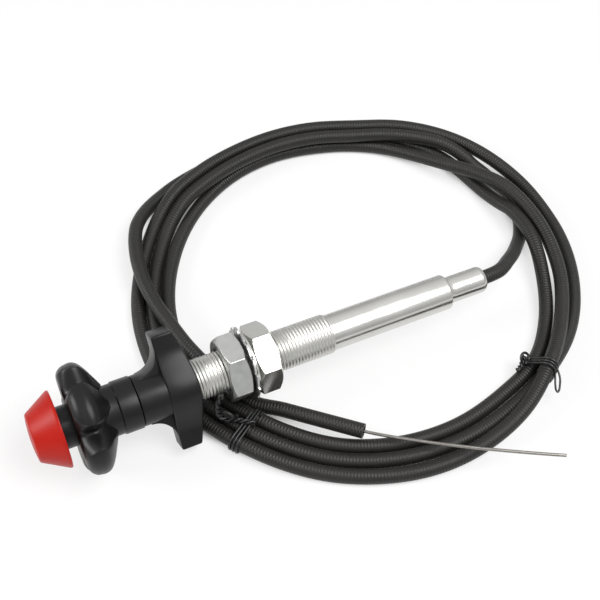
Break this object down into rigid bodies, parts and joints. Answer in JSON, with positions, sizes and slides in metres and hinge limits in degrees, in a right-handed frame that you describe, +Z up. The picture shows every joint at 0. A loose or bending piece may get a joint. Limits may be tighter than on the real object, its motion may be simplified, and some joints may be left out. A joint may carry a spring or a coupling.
{
  "type": "push-pull hand control cable",
  "caption": "Push-pull hand control with red release button, black star knob and winged lock nut, chromed threaded tube with nuts, and a coiled black conduit with a bare core wire end.",
  "frame": {"origin": "table level under the middle of the head's bounding box", "axes": "+X along the head from the knob towards the conduit, +Z up, the viewer of the picture stands on the -Y side"},
  "size_m": [0.2793, 0.2406, 0.048],
  "materials": {
    "button_red": "semi-gloss moulded",
    "knob_black": "satin moulded",
    "tube_chrome": "bright plated",
    "nut_chrome": "bright plated",
    "nut_zinc": "dull zinc plated",
    "washer_zinc": "dull zinc plated",
    "ferrule_chrome": "bright plated, swaged",
    "shaft_steel": "ground",
    "wire_steel": "drawn",
    "spring_steel": "drawn",
    "inner_brass": "turned",
    "bush_nylon": "natural",
    "conduit_black": "finely ribbed sheath",
    "tie_black": "coated wire"
  },
  "bodies": {
    "frame": {"bulkhead_tube": "tube_chrome", "end_ferrule": "ferrule_chrome", "front_hex_nut": "nut_zinc", "lock_washer": "washer_zinc", "friction_collet": "inner_brass", "shaft_bush": "bush_nylon", "conduit_lead": "conduit_black", "conduit_coil": "conduit_black", "conduit_tail": "conduit_black", "tie_right": "tie_black", "tie_left": "tie_black"},
    "core": {"wire_coupling": "inner_brass", "core_wire_head": "wire_steel"},
    "knob": {"star_knob": "knob_black", "knob_insert": "inner_brass", "control_shaft": "shaft_steel", "stop_ring": "spring_steel", "button_spring": "spring_steel"},
    "button": {"release_button": "button_red", "button_stem": "shaft_steel"},
    "lock": {"wing_lock_nut": "knob_black"},
    "rear_nut": {"rear_hex_nut": "nut_chrome"},
    "wire_end": {"core_wire_tail": "wire_steel"}
  },
  "joints": [
    {"name": "knob_slide", "type": "slide", "parent": "frame", "child": "core", "axis": [-1, 0, 0], "range_m": [0, 0.043]},
    {"name": "knob_turn", "type": "hinge", "parent": "core", "child": "knob", "pos_m": [0, 0, 0.02391], "axis": [1, 0, 0], "continuous": true},
    {"name": "button_press", "type": "slide", "parent": "knob", "child": "button", "axis": [1, 0, 0], "range_m": [0, 0.0035], "stiffness_N_per_m": 900, "springref_m": -0.002, "deforming": ["button_spring"]},
    {"name": "lock_turn", "type": "hinge", "parent": "frame", "child": "lock", "pos_m": [0, 0, 0.02391], "axis": [-1, 0, 0], "range_deg": [0, 60]},
    {"name": "rear_nut_turn", "type": "hinge", "parent": "frame", "child": "rear_nut", "pos_m": [0, 0, 0.02391], "axis": [1, 0, 0], "range_deg": [0, 60]},
    {"name": "wire_end_slide", "type": "slide", "parent": "frame", "child": "wire_end", "axis": [-0.716, 0.6915, -0.0958], "range_m": [0, 0.043]}
  ],
  "couplings": [
    {"joint": "wire_end_slide", "follows": "knob_slide", "ratio": 1}
  ]
}
